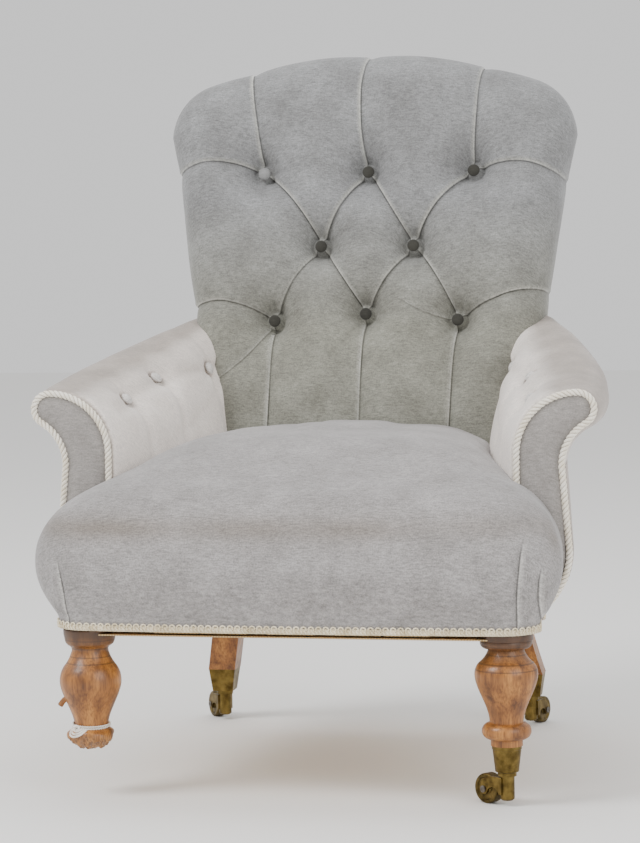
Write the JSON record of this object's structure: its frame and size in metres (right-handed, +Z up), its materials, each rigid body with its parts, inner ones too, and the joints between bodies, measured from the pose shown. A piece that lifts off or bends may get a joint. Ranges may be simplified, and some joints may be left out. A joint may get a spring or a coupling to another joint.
{
  "type": "button-back lady chair",
  "caption": "Low upholstered armchair with a deep-buttoned raked back, sprung domed seat, small scroll arms, turned wooden front legs and swivelling brass castors.",
  "frame": {"origin": "on the floor, under the middle of the overall box", "axes": "+X to the right seen from the front, +Y to the back of the chair, +Z up"},
  "size_m": [0.6504, 0.6429, 0.839],
  "materials": {
    "velvet": "worn cotton velvet, blue-grey",
    "trimming": "twisted and woven cream trimming",
    "string": "plain cotton string",
    "walnut": "old waxed polish, worn",
    "beech": "bare sawn timber",
    "jute": "plain woven hessian",
    "aged_brass": "cast and turned, tarnished",
    "steel": "drawn wire and rod"
  },
  "bodies": {
    "chair": {"arm_buttons_left": "velvet", "arm_buttons_right": "velvet", "arm_facing_left": "velvet", "arm_facing_right": "velvet", "arm_outside_left": "velvet", "arm_outside_right": "velvet", "arm_pad_left": "velvet", "arm_pad_right": "velvet", "arm_rail_left": "beech", "arm_rail_right": "beech", "arm_rope_left": "trimming", "arm_rope_right": "trimming", "arm_stump_left": "beech", "arm_stump_right": "beech", "arm_tacking_rail_left": "beech", "arm_tacking_rail_right": "beech", "back_buttons": "velvet", "back_canvas": "jute", "back_crest_rail": "beech", "back_outside": "velvet", "back_pad": "velvet", "back_stay_rail": "beech", "back_webbing": "jute", "bottom_cloth": "jute", "button_threads": "string", "castor_cup_front_right": "aged_brass", "castor_cup_rear_left": "aged_brass", "castor_cup_rear_right": "aged_brass", "corner_blocks": "beech", "front_leg_left": "walnut", "front_leg_right": "walnut", "gimp_braid": "trimming", "rear_leg_left": "walnut", "rear_leg_right": "walnut", "seat_canvas": "jute", "seat_pad": "velvet", "seat_rail_front": "beech", "seat_rail_left": "beech", "seat_rail_rear": "beech", "seat_rail_right": "beech", "seat_springs": "steel", "seat_webbing": "jute", "string_tie": "string"},
    "front_right_castor": {"castor_horn_front_right": "aged_brass", "castor_axle_front_right": "steel"},
    "front_right_wheel": {"castor_wheel_front_right": "aged_brass"},
    "rear_left_castor": {"castor_horn_rear_left": "aged_brass", "castor_axle_rear_left": "steel"},
    "rear_left_wheel": {"castor_wheel_rear_left": "aged_brass"},
    "rear_right_castor": {"castor_horn_rear_right": "aged_brass", "castor_axle_rear_right": "steel"},
    "rear_right_wheel": {"castor_wheel_rear_right": "aged_brass"}
  },
  "joints": [
    {"name": "front_right_swivel", "type": "hinge", "parent": "chair", "child": "front_right_castor", "pos_m": [0.231, -0.2624, 0.033], "axis": [0, 0, 1], "continuous": true},
    {"name": "front_right_wheel_turn", "type": "hinge", "parent": "front_right_castor", "child": "front_right_wheel", "pos_m": [0.2097, -0.24749, 0.0165], "axis": [-0.5736, -0.8192, 0], "continuous": true},
    {"name": "rear_left_swivel", "type": "hinge", "parent": "chair", "child": "rear_left_castor", "pos_m": [-0.196, 0.2346, 0.033], "axis": [0, 0, 1], "continuous": true},
    {"name": "rear_left_wheel_turn", "type": "hinge", "parent": "rear_left_castor", "child": "rear_left_wheel", "pos_m": [-0.21091, 0.2559, 0.0165], "axis": [-0.8192, -0.5736, 0], "continuous": true},
    {"name": "rear_right_swivel", "type": "hinge", "parent": "chair", "child": "rear_right_castor", "pos_m": [0.196, 0.2346, 0.033], "axis": [0, 0, 1], "continuous": true},
    {"name": "rear_right_wheel_turn", "type": "hinge", "parent": "rear_right_castor", "child": "rear_right_wheel", "pos_m": [0.20489, 0.25903, 0.0165], "axis": [-0.9397, 0.342, 0], "continuous": true}
  ]
}
